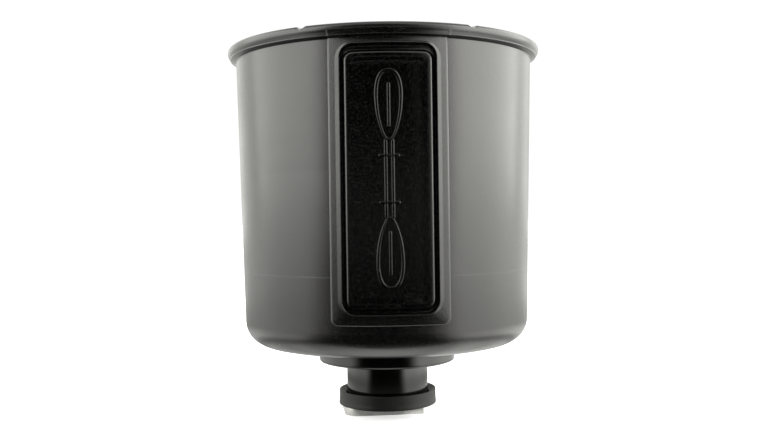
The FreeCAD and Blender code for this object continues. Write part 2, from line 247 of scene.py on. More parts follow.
def around(count, pitch_r, first_angle):
    """Places evenly spaced on a circle."""
    return [swung(pitch_r, 0.0, math.radians(first_angle + 360.0 * i / count)) for i in range(count)]


def loops_bridged(loops, close_last=True, close_first=False):
    """Quads between point loops of equal length; the last and the first may be closed with a face."""
    points, faces = [], []
    size = len(loops[0])
    for loop in loops:
        points += loop
    for n in range(len(loops) - 1):
        for i in range(size):
            j = (i + 1) % size
            a, b = n * size, (n + 1) * size
            faces.append((a + i, a + j, b + j, b + i))
    if close_last:
        start = (len(loops) - 1) * size
        faces.append(tuple(start + i for i in range(size)))
    if close_first:
        faces.append(tuple(reversed(range(size))))
    return points, faces


# ---- materials ----
def remap(tree, value, from_low, from_high, low, high, course="SMOOTHSTEP"):
    """Maps a value's range onto another, with soft ends unless another course is asked for."""
    node = tree.nodes.new("ShaderNodeMapRange")
    node.interpolation_type = course
    node.inputs["From Min"].default_value = from_low
    node.inputs["From Max"].default_value = from_high
    node.inputs["To Min"].default_value = low
    node.inputs["To Max"].default_value = high
    tree.links.new(value, node.inputs["Value"])
    return node.outputs["Result"]


class Shader:
    """A small helper for building a procedural material."""

    def __init__(self, name, roughness, specular=0.5, metallic=0.0):
        self.material = bpy.data.materials.new(name)
        self.material.use_nodes = True
        self.tree = self.material.node_tree
        self.bsdf = self.tree.nodes["Principled BSDF"]
        self.bsdf.inputs["Roughness"].default_value = roughness
        self.bsdf.inputs["Specular IOR Level"].default_value = specular
        self.bsdf.inputs["Metallic"].default_value = metallic
        self.place = self.tree.nodes.new("ShaderNodeTexCoord").outputs["Object"]

    def noise(self, scale, detail=2.0, stretch=None, roughness=0.5):
        """A noise value, its scale in cells per metre, stretched along axes if asked."""
        place = self.place
        if stretch:
            mapping = self.tree.nodes.new("ShaderNodeMapping")
            mapping.inputs["Scale"].default_value = stretch
            self.tree.links.new(place, mapping.inputs["Vector"])
            place = mapping.outputs["Vector"]
        node = self.tree.nodes.new("ShaderNodeTexNoise")
        node.inputs["Scale"].default_value = scale
        node.inputs["Detail"].default_value = detail
        node.inputs["Roughness"].default_value = roughness
        self.tree.links.new(place, node.inputs["Vector"])
        return node.outputs["Fac"]

    def spread(self, value, low, high, from_low=0.3, from_high=0.7):
        """Maps a noise value evenly onto a range."""
        return remap(self.tree, value, from_low, from_high, low, high, "LINEAR")

    def colours(self, value, dark, light):
        """Mixes two colours by a value and gives the result to the shader."""
        node = self.tree.nodes.new("ShaderNodeMix")
        node.data_type = "RGBA"
        node.inputs["A"].default_value = (*dark, 1.0)
        node.inputs["B"].default_value = (*light, 1.0)
        self.tree.links.new(value, node.inputs["Factor"])
        self.tree.links.new(node.outputs["Result"], self.bsdf.inputs["Base Color"])

    def vary_roughness(self, value):
        """Lets a value set the roughness from place to place."""
        self.tree.links.new(value, self.bsdf.inputs["Roughness"])

    def bumps(self, *layers):
        """Stacks bump layers, each (value, strength, distance in metres)."""
        normal = None
        for value, strength, distance in layers:
            node = self.tree.nodes.new("ShaderNodeBump")
            node.inputs["Strength"].default_value = strength
            node.inputs["Distance"].default_value = distance
            self.tree.links.new(value, node.inputs["Height"])
            if normal:
                self.tree.links.new(normal, node.inputs["Normal"])
            normal = node.outputs["Normal"]
        self.tree.links.new(normal, self.bsdf.inputs["Normal"])


def grained_plastic_painted_glints(name, dark, light, roughness, grain_scale, grain_depth, wave_depth, specular=0.5):
    """Moulded plastic: an etched grain whose peaks get a lighter base colour as painted glints, over
    slow, shallow waves.
    """
    shader = Shader(name, roughness, specular)
    patches = shader.noise(60.0, 3.0)
    grain = shader.noise(grain_scale, 3.0, roughness=0.6)
    # painted glints: the grain's peaks take the lighter colour
    shader.colours(shader.spread(grain, 0.0, 1.0, 0.52, 0.75), dark, light)
    shader.vary_roughness(shader.spread(patches, roughness - 0.03, roughness + 0.03))
    shader.bumps((shader.noise(90.0, 1.0), 1.0, wave_depth), (grain, 1.0, grain_depth))
    return shader.material


def steel(name, colour, roughness, scratch, pits, metallic=1.0):
    """Bare steel with fine scratches and small pits."""
    shader = Shader(name, roughness, 0.5, metallic)
    streaks = shader.noise(900.0, 4.0, stretch=(1.0, 1.0, 14.0))
    specks = shader.noise(2600.0, 4.0, roughness=0.7)
    darker = tuple(c * 0.7 for c in colour)
    shader.colours(shader.spread(specks, 0.0, 1.0, 0.35, 0.6), darker, colour)
    shader.vary_roughness(shader.spread(streaks, roughness - 0.08, roughness + 0.12))
    shader.bumps((streaks, 1.0, scratch), (specks, 1.0, pits))
    return shader.material


def rubber(name, dark, light, roughness, grain_depth):
    """Moulded rubber with a faint bloom and a soft grain."""
    shader = Shader(name, roughness, 0.4)
    bloom = shader.noise(140.0, 5.0, roughness=0.6)
    grain = shader.noise(2200.0, 3.0)
    shader.colours(shader.spread(bloom, 0.0, 1.0), dark, light)
    shader.vary_roughness(shader.spread(bloom, roughness - 0.06, roughness + 0.06))
    shader.bumps((shader.noise(260.0, 2.0), 1.0, 0.00002), (grain, 1.0, grain_depth))
    return shader.material


SHELL_PLASTIC = grained_plastic_painted_glints(
    "shell_plastic", (0.0006, 0.0006, 0.0005), (0.0110, 0.0110, 0.0104), roughness=0.25,
    grain_scale=2000.0, grain_depth=0.00003, wave_depth=0.00003, specular=0.8)
PANEL_PLASTIC = grained_plastic_painted_glints(
    "panel_plastic", (0.0003, 0.0003, 0.0003), (0.0085, 0.0085, 0.0080), roughness=0.16,
    grain_scale=1700.0, grain_depth=0.00005, wave_depth=0.00001, specular=0.3)
BASE_PLASTIC = grained_plastic_painted_glints(
    "base_plastic", (0.0006, 0.0006, 0.0005), (0.0010, 0.0010, 0.0009), roughness=0.15,
    grain_scale=3000.0, grain_depth=0.000003, wave_depth=0.00001, specular=0.8)
PLUG_PLASTIC = grained_plastic_painted_glints(
    "plug_plastic", (0.030, 0.030, 0.030), (0.045, 0.045, 0.045), roughness=0.45,
    grain_scale=2400.0, grain_depth=0.00001, wave_depth=0.00001)
WASHER_PLASTIC = grained_plastic_painted_glints(
    "washer_plastic", (0.68, 0.68, 0.64), (0.76, 0.76, 0.72), roughness=0.4,
    grain_scale=1800.0, grain_depth=0.000008, wave_depth=0.00001)
LINER_RUBBER = rubber("liner_rubber", (0.014, 0.014, 0.014), (0.022, 0.022, 0.022), 0.62, 0.000012)
PAD_RUBBER = rubber("pad_rubber", (0.018, 0.018, 0.018), (0.028, 0.028, 0.028), 0.68, 0.00002)
COLLAR_RUBBER = rubber("collar_rubber", (0.0025, 0.0025, 0.0025), (0.0070, 0.0066, 0.0062), 0.5, 0.000012)
BOLT_STEEL = steel("bolt_steel", (0.55, 0.55, 0.53), 0.4, 0.00001, 0.00003, 0.6)
SCREW_STEEL = steel("screw_steel", (0.66, 0.66, 0.64), 0.3, 0.000004, 0.000004)
NUT_STEEL = steel("nut_steel", (0.64, 0.63, 0.60), 0.32, 0.000005, 0.000006)


# ---- cup shell ----
NOTCH_AZIMUTH, NOTCH_D = 29.4, 1.3
NOTCH_INNER_HALF, NOTCH_OUTER_HALF = 2.1, 1.6
DRAIN_COUNT, DRAIN_PITCH_R, DRAIN_R = 6, 33.0, 2.6
DRAIN_PLACES = around(DRAIN_COUNT, DRAIN_PITCH_R, 0)
SCREW_COUNT, SCREW_PITCH_R, SCREW_HOLE_R = 4, 18.6, 2.3
SCREW_PLACES = around(SCREW_COUNT, SCREW_PITCH_R, 45)
STUD_HOLE_R = 4.5
# witness lines of the mould: a step right round the cup, and a band between two lines on its left
WITNESS_H = 0.012
WITNESS_LOW_Z, WITNESS_HIGH_Z = 47.2, 47.35
SLIDE_LINES_Z = (79.3, 82.3)
SLIDE_LINE_W = 0.15
SLIDE_AZIMUTHS = (-100, -21)
RIM_MARK_AZIMUTHS, RIM_MARK_H = (-19.6, 20.15), 0.17
RIM_MARK_INNER, RIM_MARK_OUTER = 0.06, 0.38
# painted shade under the lip: how far below and above the rim's foot the faces that look down take the
# darker plastic
LIP_SHADE_BELOW, LIP_SHADE_ABOVE, LIP_SHADE_TILT = 0.4, 0.26, -0.6
FRONT = 270.0


def from_front(angle):
    """Degrees round from the front (-Y), positive towards +X."""
    return (angle - FRONT + 180.0) % 360.0 - 180.0


def notch_floor(angle):
    """Height that the rim's top is cut down to at an angle."""
    azimuth = from_front(angle)
    aside = (abs(azimuth) - NOTCH_AZIMUTH) * math.pi / 180.0 * RIM_R
    half = NOTCH_OUTER_HALF if aside > 0 else NOTCH_INNER_HALF
    return RIM_TOP_Z - NOTCH_D * max(0.0, 1.0 - abs(aside) / half)


def mark_height(azimuth):
    """The fine ridges on the rim, steep towards the pad and shallow away from it."""
    height = 0.0
    for mark in RIM_MARK_AZIMUTHS:
        outwards = math.copysign(1.0, mark) * (azimuth - mark)
        run = RIM_MARK_OUTER if outwards > 0 else RIM_MARK_INNER
        height += RIM_MARK_H * max(0.0, 1.0 - abs(outwards) / run)
    return height


def shell_shape(angle, r, z):
    """Cuts the rim notches and lays the faint witness lines of the mould on the wall."""
    azimuth = from_front(angle)
    if z > RIM_TOP_Z - NOTCH_D - 0.01:
        z = min(z, notch_floor(angle))
    between_lines = SLIDE_LINES_Z[0] < z < SLIDE_LINES_Z[1] and r > wall_r(z) - 0.1
    if between_lines and SLIDE_AZIMUTHS[0] < azimuth < SLIDE_AZIMUTHS[1]:
        r -= WITNESS_H / 2
    if RIM_UNDER_Z < z < RIM_BELLY_Z + 0.05 and r > RIM_LIP_R - 0.2:
        r += mark_height(azimuth)
    return r, z


def shell_outline():
    """Section of the wall, floor and rolled rim."""
    floor_top = CUP_BASE_Z + FLOOR_T
    corners = [
        (STUD_HOLE_R, CUP_BASE_Z),
        (wall_r(CUP_BASE_Z), CUP_BASE_Z),
        (wall_r(WITNESS_LOW_Z) + WITNESS_H, WITNESS_LOW_Z),
        (wall_r(WITNESS_LOW_Z), WITNESS_HIGH_Z),
        (wall_r(SLIDE_LINES_Z[0]), SLIDE_LINES_Z[0]),
        (wall_r(SLIDE_LINES_Z[0]) + 0.001, SLIDE_LINES_Z[0] + SLIDE_LINE_W),
        (wall_r(SLIDE_LINES_Z[1]) + 0.001, SLIDE_LINES_Z[1] - SLIDE_LINE_W),
        (wall_r(SLIDE_LINES_Z[1]), SLIDE_LINES_Z[1]),
        (wall_r(RIM_UNDER_Z), RIM_UNDER_Z - 0.35),
        (RIM_LIP_R - 0.05, RIM_UNDER_Z + 0.22),
        (RIM_LIP_R + 0.12, RIM_UNDER_Z + 0.32),
        (RIM_LIP_R + 0.15, RIM_UNDER_Z + 0.55),
        (RIM_R, RIM_BELLY_Z + 0.1),
        (RIM_R, RIM_TOP_Z),
        (SEAT_R, RIM_TOP_Z),
        (SEAT_R, SEAT_Z),
        (wall_r(SEAT_Z) - WALL_T, SEAT_Z),
        (wall_r(floor_top) - WALL_T, floor_top),
        (STUD_HOLE_R, floor_top),
    ]
    bottom = {1: CORNER_R, 17: CORNER_R - WALL_T}
    under_lip = {8: 0.12, 9: 0.08, 10: 0.08, 11: 0.1}
    lip_and_seat = {12: 2.1, 13: 1.3, 14: 0.9, 15: 0.15, 16: 0.3}
    return rounded(corners, {**bottom, **under_lip, **lip_and_seat}, arc_steps=10)


def shell_edges():
    """Angles at which the notches and the marks on the rim have their corners."""
    edges = []
    for side in (-1, 1):
        for aside in (-NOTCH_INNER_HALF, 0.0, NOTCH_OUTER_HALF):
            azimuth = side * (NOTCH_AZIMUTH + math.degrees(aside / RIM_R))
            for nudge in (-0.12, 0.0, 0.12):
                edges.append(FRONT + azimuth + nudge)
    for mark in RIM_MARK_AZIMUTHS:
        for outwards in (-RIM_MARK_INNER, 0.0, RIM_MARK_OUTER / 2, RIM_MARK_OUTER):
            edges.append(FRONT + mark + math.copysign(1.0, mark) * outwards)
    return edges


def make_shell():
    """Cup moulding, with its holes, the window for the badge pad and painted shade on the underside of
    its lip.
    """
    points, faces = turned(shell_outline(), even_angles(288, shell_edges()), shell_shape)
    shell = piece("cup_shell_moulding", points, faces, "cup", SHELL_PLASTIC, ["cup_shell"])
    low, high = CUP_BASE_Z - 1, CUP_BASE_Z + FLOOR_T + 1
    holes = pegs(DRAIN_PLACES, DRAIN_R, low, high) + pegs(SCREW_PLACES, SCREW_HOLE_R, low, high)
    cut_holes(shell, holes + [pad_window()])
    # painted shade: the lip's underside takes the darker panel plastic, standing in for the shade under
    # the lip
    shell.data.materials.append(PANEL_PLASTIC)
    for face in shell.data.polygons:
        above_foot = face.center.z / MM - RIM_UNDER_Z
        if face.normal.z < LIP_SHADE_TILT and -LIP_SHADE_BELOW < above_foot < LIP_SHADE_ABOVE:
            face.material_index = 1


# ---- badge pad ----
# edges on the pad's front: half width, low z, high z, corner radius
PAD_EDGE = (18.2, 32.8, 121.6, 2.2)
TRACK_EDGE = (14.6, 36.2, 117.3, 3.9)
PANEL_EDGE = (13.75, 37.6, 115.3, 3.0)
FIELD_EDGE = (11.3, 40.0, 112.9, 2.2)
FRAME_R, BEAD_R, TRACK_R, PANEL_R, FIELD_R = 51.6, 51.9, 50.5, 51.5, 51.2
WINDOW_INSET, WINDOW_DEPTH = 0.3, 1.1
# how far inside the track's edge, the panel's edge and the panel's front the darker plastic starts; on
# the panel it is the panel's own finish, down in the track it is painted shade
PANEL_AND_SHADE_IN_TRACK, DARK_IN_PANEL, GROOVE_SHADE_BELOW_PANEL = 0.05, 0.9, 0.3
CORNER_STEPS, SIDE_STEPS, ACROSS_STEPS = 9, 40, 30
FILL_STEP, FILL_CORNER_STEP = 1.5, 0.3


def front_loop(half_w, low_z, high_z, corner_r, surface_r=None, root=1.0):
    """Rounded rectangle wrapped on an upright cylinder, seen from the front, anticlockwise.

    Without a radius of its own it lies in the wall, root below its skin.
    """
    corner_r = max(min(corner_r, half_w * 0.98), 0.05)
    flat = []
    left, right = corner_r - half_w, half_w - corner_r
    low, high = low_z + corner_r, high_z - corner_r
    spans = (
        ((right, low), -90.0, (half_w, low), (half_w, high)),
        ((right, high), 0.0, (right, high_z), (left, high_z)),
        ((left, high), 90.0, (-half_w, high), (-half_w, low)),
        ((left, low), 180.0, (left, low_z), (right, low_z)),
    )
    for n, (centre, first, start, stop) in enumerate(spans):
        for k in range(CORNER_STEPS):
            a = math.radians(first + 90.0 * k / CORNER_STEPS)
            flat.append((centre[0] + corner_r * math.cos(a), centre[1] + corner_r * math.sin(a)))
        steps = SIDE_STEPS if n % 2 == 0 else ACROSS_STEPS
        for k in range(steps):
            t = k / steps
            flat.append((start[0] + (stop[0] - start[0]) * t, start[1] + (stop[1] - start[1]) * t))
    return [(x, -math.sqrt((surface_r or wall_r(z) - root) ** 2 - x ** 2), z) for x, z in flat]


def inner_loops(half_w, low_z, high_z, corner_r, surface_r=None, root=1.0):
    """Ever smaller loops on one surface, from an edge to its middle."""
    loops = []
    while half_w > FILL_STEP + FILL_CORNER_STEP:
        half_w -= FILL_STEP
        low_z += FILL_STEP
        high_z -= FILL_STEP
        corner_r = max(corner_r - FILL_CORNER_STEP, FILL_CORNER_STEP)
        loops.append(front_loop(half_w, low_z, high_z, corner_r, surface_r, root))
    return loops


def pad_window():
    """Cutter that takes the wall's skin away where the badge pad stands in it."""
    edge = (PAD_EDGE[0] - WINDOW_INSET, PAD_EDGE[1] + WINDOW_INSET, RIM_UNDER_Z - 0.1, 2.0)
    outside = [front_loop(*edge, surface_r=RIM_R)] + inner_loops(*edge, surface_r=RIM_R)
    inside = [front_loop(*edge, root=WINDOW_DEPTH)] + inner_loops(*edge, root=WINDOW_DEPTH)
    return loops_bridged(outside[::-1] + inside, close_first=True)


# the pad's skin from its foot to its middle: edge, step out at the sides, step out at the ends, radius
PAD_SECTION = (
    (PAD_EDGE, 0.0, 0.0, None),
    (PAD_EDGE, 0.0, 0.0, FRAME_R - 0.5),
    (PAD_EDGE, -0.12, -0.12, FRAME_R - 0.2),
    (PAD_EDGE, -0.35, -0.35, FRAME_R - 0.04),
    (PAD_EDGE, -0.7, -0.7, FRAME_R),
    (TRACK_EDGE, 1.5, 0.62, FRAME_R),
    (TRACK_EDGE, 1.25, 0.5, FRAME_R + 0.03),
    (TRACK_EDGE, 0.4, 0.22, BEAD_R - 0.03),
    (TRACK_EDGE, 0.18, 0.1, BEAD_R),
    (TRACK_EDGE, 0.0, 0.0, BEAD_R - 0.1),
    (TRACK_EDGE, -0.1, -0.12, BEAD_R - 0.4),
    (TRACK_EDGE, -0.25, -0.35, TRACK_R + 0.35),
    (TRACK_EDGE, -0.4, -0.55, TRACK_R + 0.05),
    (TRACK_EDGE, -0.5, -0.7, TRACK_R),
    (PANEL_EDGE, 0.1, 0.1, TRACK_R),
    (PANEL_EDGE, 0.0, 0.0, TRACK_R + 0.05),
    (PANEL_EDGE, -0.25, -0.25, TRACK_R + 0.45),
    (PANEL_EDGE, -0.6, -0.6, PANEL_R - 0.18),
    (PANEL_EDGE, -0.95, -0.95, PANEL_R - 0.03),
    (PANEL_EDGE, -1.3, -1.3, PANEL_R),
    (FIELD_EDGE, 0.3, 0.3, PANEL_R),
    (FIELD_EDGE, 0.0, 0.0, PANEL_R - 0.05),
    (FIELD_EDGE, -0.7, -0.7, FIELD_R + 0.05),
    (FIELD_EDGE, -1.0, -1.0, FIELD_R),
)


def pad_ring(edge, side_step, end_step, surface_r):
    """Sizes of a loop that runs beside one of the pad's edges."""
    half_w, low_z, high_z, corner_r = edge
    return half_w + side_step, low_z - end_step, high_z + end_step, corner_r + side_step, surface_r


def make_badge_pad():
    """Frame, recessed track, inner panel and its sunken field, in one skin; the panel takes the darker
    plastic, and so does the track's floor as painted shade.
    """
    rings = [pad_ring(*row) for row in PAD_SECTION]
    loops = [front_loop(*ring) for ring in rings]
    points, faces = loops_bridged(loops + inner_loops(*rings[-1]))
    pad = piece("badge_pad", points, faces, "cup", SHELL_PLASTIC)
    pad.data.materials.append(PANEL_PLASTIC)
    # painted shade: faces in the track below the panel's front take the darker plastic because the groove
    # lies in shade; the panel takes it as its own finish
    for face in pad.data.polygons:
        x, y, z = (c / MM for c in face.center)
        low = math.hypot(x, y) < PANEL_R - GROOVE_SHADE_BELOW_PANEL
        on_panel = within(PANEL_EDGE, DARK_IN_PANEL, x, z)
        face.material_index = 1 if within(TRACK_EDGE, PANEL_AND_SHADE_IN_TRACK, x, z) and (low or on_panel) else 0


def within(edge, inset, x, z):
    """Whether a place on the pad's front is inside one of its edges by more than the inset."""
    half_w, low_z, high_z, _ = edge
    return abs(x) < half_w - inset and low_z + inset < z < high_z - inset


# ---- emblem: a plain double-bladed paddle ----
EMBLEM_LOW_Z, EMBLEM_HIGH_Z = 43.6, 109.8
BLADE_HALF_L, BLADE_HALF_W = 11.0, 4.2
BLADE_TAPER, BLADE_WAIST = 0.28, 0.1
BLADE_SIDE_POWER, BLADE_END_POWER = 0.8, 0.9
STROKE_W = 1.2
SPINE_HALF_L = 6.2
SHAFT_HALF_GAP, SHAFT_OVERLAP = 1.05, 0.3
DRIP_RING_HALF_W, DRIP_RING_OUT = 2.7, 7.0
# side of a stroke: how far in from its edge, and how far above the field
STROKE_SIDE = ((0.0, -0.3), (0.0, 0.0), (0.14, 0.16), (0.34, 0.3), (0.42, 0.32))


def on_field(outline, rise):
    """An (x, z) outline laid on the field, or a rise above it."""
    return [(x, -math.sqrt((FIELD_R + rise) ** 2 - x * x), z) for x, z in outline]


def bar_outline(start, stop, half_w, end_steps=8, long_steps=6):
    """Bar with round ends between two (x, z) points."""
    a, b = Vector(start), Vector(stop)
    along = (b - a).normalized()
    across = Vector((-along.y, along.x))
    outline = []
    for here, there, way in ((b, a, 1), (a, b, -1)):
        for k in range(end_steps + 1):
            turn = math.pi * k / end_steps
            outline.append(here + (across * -math.cos(turn) + along * math.sin(turn)) * half_w * way)
        for k in range(1, long_steps):
            outline.append(here.lerp(there, k / long_steps) + across * half_w * way)
    return [(p.x, p.y) for p in outline]


def blade_outline(middle_z, half_w, half_l, side, steps=64):
    """Paddle blade as a full oval that is broadest towards its tip."""
    outline = []
    for i in range(steps):
        a = 2 * math.pi * i / steps
        c, s = math.cos(a), math.sin(a)
        broad = 1.0 - BLADE_TAPER * side * c - BLADE_WAIST * c * c
        x = half_w * broad * math.copysign(abs(s) ** BLADE_SIDE_POWER, s)
        outline.append((x, middle_z - half_l * math.copysign(abs(c) ** BLADE_END_POWER, c)))
    return outline


def raised_bar(start, stop):
    """A bar with sloping sides that stands on the field."""
    loops = []
    for inset, rise in STROKE_SIDE:
        loops.append(on_field(bar_outline(start, stop, STROKE_W / 2 - inset), rise))
    return loops_bridged(loops)


def raised_blade(middle_z, side):
    """A blade drawn as one closed stroke with sloping sides."""
    rows = list(STROKE_SIDE) + [(STROKE_W - inset, rise) for inset, rise in reversed(STROKE_SIDE)]
    loops = []
    for inset, rise in rows:
        outline = blade_outline(middle_z, BLADE_HALF_W - inset, BLADE_HALF_L - inset, side)
        loops.append(on_field(outline, rise))
    return loops_bridged(loops, close_last=False)


def make_emblem():
    """Two outlined blades with a spine each, joined by a double shaft with two drip rings."""
    middle = (EMBLEM_LOW_Z + EMBLEM_HIGH_Z) / 2
    half_l = (EMBLEM_HIGH_Z - EMBLEM_LOW_Z) / 2
    shaft_half = half_l - 2 * BLADE_HALF_L + SHAFT_OVERLAP
    parts = []
    for side in (-1, 1):
        blade_z = middle + side * (half_l - BLADE_HALF_L)
        parts.append(raised_blade(blade_z, side))
        parts.append(raised_bar((0.0, blade_z - SPINE_HALF_L), (0.0, blade_z + SPINE_HALF_L)))
        shaft_x = side * SHAFT_HALF_GAP
        parts.append(raised_bar((shaft_x, middle - shaft_half), (shaft_x, middle + shaft_half)))
        ring_z = middle + side * DRIP_RING_OUT
        parts.append(raised_bar((-DRIP_RING_HALF_W, ring_z), (DRIP_RING_HALF_W, ring_z)))
    points, faces = merged(parts)
    piece("pad_emblem", points, faces, "cup", PANEL_PLASTIC, sharp_angle=60.0)


# ---- liner ----
LINER_GAP, LINER_T = 0.4, 1.5
LINER_MOUTH_R, LINER_BAND_LOW_Z, LINER_RING_R = 46.0, 111.0, 49.7
FIN_COUNT, FIN_LOW_Z, FIN_HIGH_Z = 8, 72.0, 108.0
LINER_BAND_SLOPE_H, LINER_SEAT_GAP = 2.0, 0.1
FIN_ROOT_R, FIN_TIP_R, FIN_SWEEP, FIN_T, FIN_SLOPE = 47.1, 34.0, 17.0, 1.8, 8.0
# a fin's turn along it: a steady share and one that grows towards the tip
FIN_STEADY, FIN_CURL = 0.28, 0.72
# its rounded top and bottom edges, how much thinner its tip is, and the flare at its root
FIN_EDGE_R, FIN_EDGE_LEAST, FIN_THINNING, FIN_FLARE, FIN_FLARE_RATE = 0.8, 0.25, 0.25, 0.9, 7.0


def make_liner():
    """Sleeve with a thicker band at its mouth, and the fins inside it."""
    low_z, top_z = LINER_LOW[2], LINER_HIGH[2]
    low_out = wall_r(low_z) - WALL_T - LINER_GAP
    high_out = wall_r(SEAT_Z) - WALL_T - LINER_GAP
    under = LINER_BAND_LOW_Z - LINER_BAND_SLOPE_H
    corners = [
        (low_out - LINER_T, low_z),
        (low_out, low_z),
        (high_out, SEAT_Z + LINER_SEAT_GAP),
        (LINER_RING_R, SEAT_Z + LINER_SEAT_GAP),
        (LINER_RING_R, top_z),
        (LINER_MOUTH_R, top_z),
        (LINER_MOUTH_R, LINER_BAND_LOW_Z),
        (wall_r(under) - WALL_T - LINER_GAP - LINER_T, under),
    ]
    outline = rounded(corners, {0: 0.5, 1: 0.3, 4: 0.7, 5: 0.9, 6: 0.6, 7: 0.8}, arc_steps=6)
    points, faces = turned(outline, even_angles(240))
    piece("liner_sleeve", points, faces, "liner", LINER_RUBBER, ["grip_liner"])
    points, faces = merged([fin(360.0 * (i + 0.5) / FIN_COUNT) for i in range(FIN_COUNT)])
    piece("liner_fins", points, faces, "liner", LINER_RUBBER)


def fin(angle):
    """One swept fin with rounded edges, thickest at its root."""
    steps, across, levels = 14, 8, 18
    loops = []
    for n in range(levels + 1):
        sides = [fin_side(k / steps, n / levels) for k in range(steps + 1)]
        loop = [fin_point(radius, turn, -half, z, angle) for radius, turn, half, z in sides]
        radius, turn, half, z = sides[-1]
        for k in range(1, across):
            a = math.pi * k / across
            loop.append(fin_point(radius - half * math.sin(a), turn, -half * math.cos(a), z, angle))
        for radius, turn, half, z in reversed(sides):
            loop.append(fin_point(radius, turn, half, z, angle))
        loops.append(loop)
    return loops_bridged(loops, close_first=True)


def fin_side(share, up):
    """Radius, turn, half thickness and height at a share along a fin and a share up it."""
    radius = FIN_ROOT_R + (FIN_TIP_R - FIN_ROOT_R) * share
    turn = math.radians(FIN_SWEEP) * (FIN_STEADY * share + FIN_CURL * share ** 2)
    low = FIN_LOW_Z + FIN_SLOPE * share
    high = FIN_HIGH_Z - FIN_SLOPE * share
    z = low + (high - low) * up
    edge = min(z - low, high - z)
    crown = math.sqrt(max(0.0, 1.0 - max(0.0, 1.0 - edge / FIN_EDGE_R) ** 2))
    half = FIN_T / 2 * (1.0 - FIN_THINNING * share) * max(crown, FIN_EDGE_LEAST)
    root = 1.0 + FIN_FLARE * max(0.0, 1.0 - share * FIN_FLARE_RATE) ** 2
    return radius, turn, half * root, z


def fin_point(radius, turn, shift, z, angle):
    """A point beside a fin's middle line, turned to the fin's place."""
    return (*swung(*swung(radius, shift, turn), math.radians(angle)), z)


# ---- floor pad ----
MAT_BORE_R, MAT_RIB_H, MAT_RIB_SLOPE = 9.0, 0.6, 0.1
MAT_RIBS = ((37.4, 38.6), (25.0, 26.2), (10.6, 11.8))
MAT_SCREW_HOLE_R, MAT_DRAIN_HOLE_R = 4.6, 3.2


def make_floor_pad():
    """Mat with three raised rings, open over the screws and the drain holes."""
    low, rib_top = PAD_LOW[2], PAD_HIGH[2]
    high = rib_top - MAT_RIB_H
    corners = [(MAT_BORE_R, low), (PAD_HIGH[0], low), (PAD_HIGH[0], high)]
    radii = {2: 0.5}
    for inner, outer in MAT_RIBS:
        start = len(corners)
        top = [(outer - MAT_RIB_SLOPE, rib_top), (inner + MAT_RIB_SLOPE, rib_top)]
        corners += [(outer, high), *top, (inner, high)]
        radii.update({start: 0.2, start + 1: 0.3, start + 2: 0.3, start + 3: 0.2})
    corners.append((MAT_BORE_R, high))
    radii[len(corners) - 1] = 0.4
    points, faces = turned(rounded(corners, radii, arc_steps=4, support=0.15), even_angles(180))
    pad = piece("floor_mat", points, faces, "cup", PAD_RUBBER, ["floor_pad"])
    holes = pegs(SCREW_PLACES, MAT_SCREW_HOLE_R, low - 1, rib_top + 1)
    cut_holes(pad, holes + pegs(DRAIN_PLACES, MAT_DRAIN_HOLE_R, low - 1, rib_top + 1))


# ---- track base ----
NECK_BORE_R, NECK_R, NECK_DRAFT = 3.6, 14.2, 0.05
NECK_BEAD_R, NECK_BEAD_LOW_Z, NECK_BEAD_HIGH_Z = 15.1, 2.3, 3.3
FLANGE_LOW_Z, FLANGE_GAP = 15.1, 0.02
POCKET_R, POCKET_FOOT_R = 7.45, 7.0
PILOT_HOLE_R, PILOT_LOW_Z = 2.05, 16.4


def make_track_base():
    """Flange under the cup and the neck below it, with the nut's pocket and the screws' holes."""
    neck_low, flange_top = BASE_LOW[2], CUP_BASE_Z - FLANGE_GAP
    corners = [
        (NECK_BORE_R, neck_low),
        (NECK_R, neck_low),
        (NECK_R, NECK_BEAD_LOW_Z),
        (NECK_BEAD_R, NECK_BEAD_LOW_Z),
        (NECK_BEAD_R, NECK_BEAD_HIGH_Z),
        (NECK_R, NECK_BEAD_HIGH_Z),
        (NECK_R - NECK_DRAFT, FLANGE_LOW_Z),
        (FLANGE_R, FLANGE_LOW_Z),
        (FLANGE_R, flange_top),
        (POCKET_R, flange_top),
        (POCKET_R, NUT_HIGH[2]),
        (POCKET_FOOT_R, NUT_LOW[2]),
        (NECK_BORE_R, NUT_LOW[2]),
    ]
    radii = {1: 0.3, 3: 0.35, 4: 0.35, 5: 0.2, 6: 0.6, 7: 0.9, 8: 0.25}
    points, faces = turned(rounded(corners, radii, arc_steps=7), even_angles(192))
    base = piece("neck_and_flange", points, faces, "cup", BASE_PLASTIC, ["track_base"])
    cut_holes(base, pegs(SCREW_PLACES, PILOT_HOLE_R, PILOT_LOW_Z, CUP_BASE_Z + 1))


# ---- nut, plug, washer and collar ----
NUT_BORE_R, NUT_ACROSS_FLATS, NUT_FACE_INSET, NUT_CHAMFER_H = 3.2, 11.1, 0.1, 0.6
PLUG_BORE_R, PLUG_R, PLUG_EDGE_R = 3.7, 7.4, 0.5
WASHER_BORE_R, WASHER_R, WASHER_EDGE_R = 6.2, 13.9, 0.15
COLLAR_HOLE_R, COLLAR_FLOOR_Z, COLLAR_DRAFT = 6.2, 1.2, 0.05
COLLAR_SKIRT_Z, COLLAR_SHOULDER_Z, COLLAR_TOP_R = 0.9, 1.8, 16.9
COLLAR_LIP_R, COLLAR_LAND_Z, COLLAR_BORE_R = 16.6, 4.0, 14.6
COLLAR_GROOVE_R, COLLAR_GROOVE_LOW_Z, COLLAR_GROOVE_HIGH_Z = 15.5, 1.9, 3.7


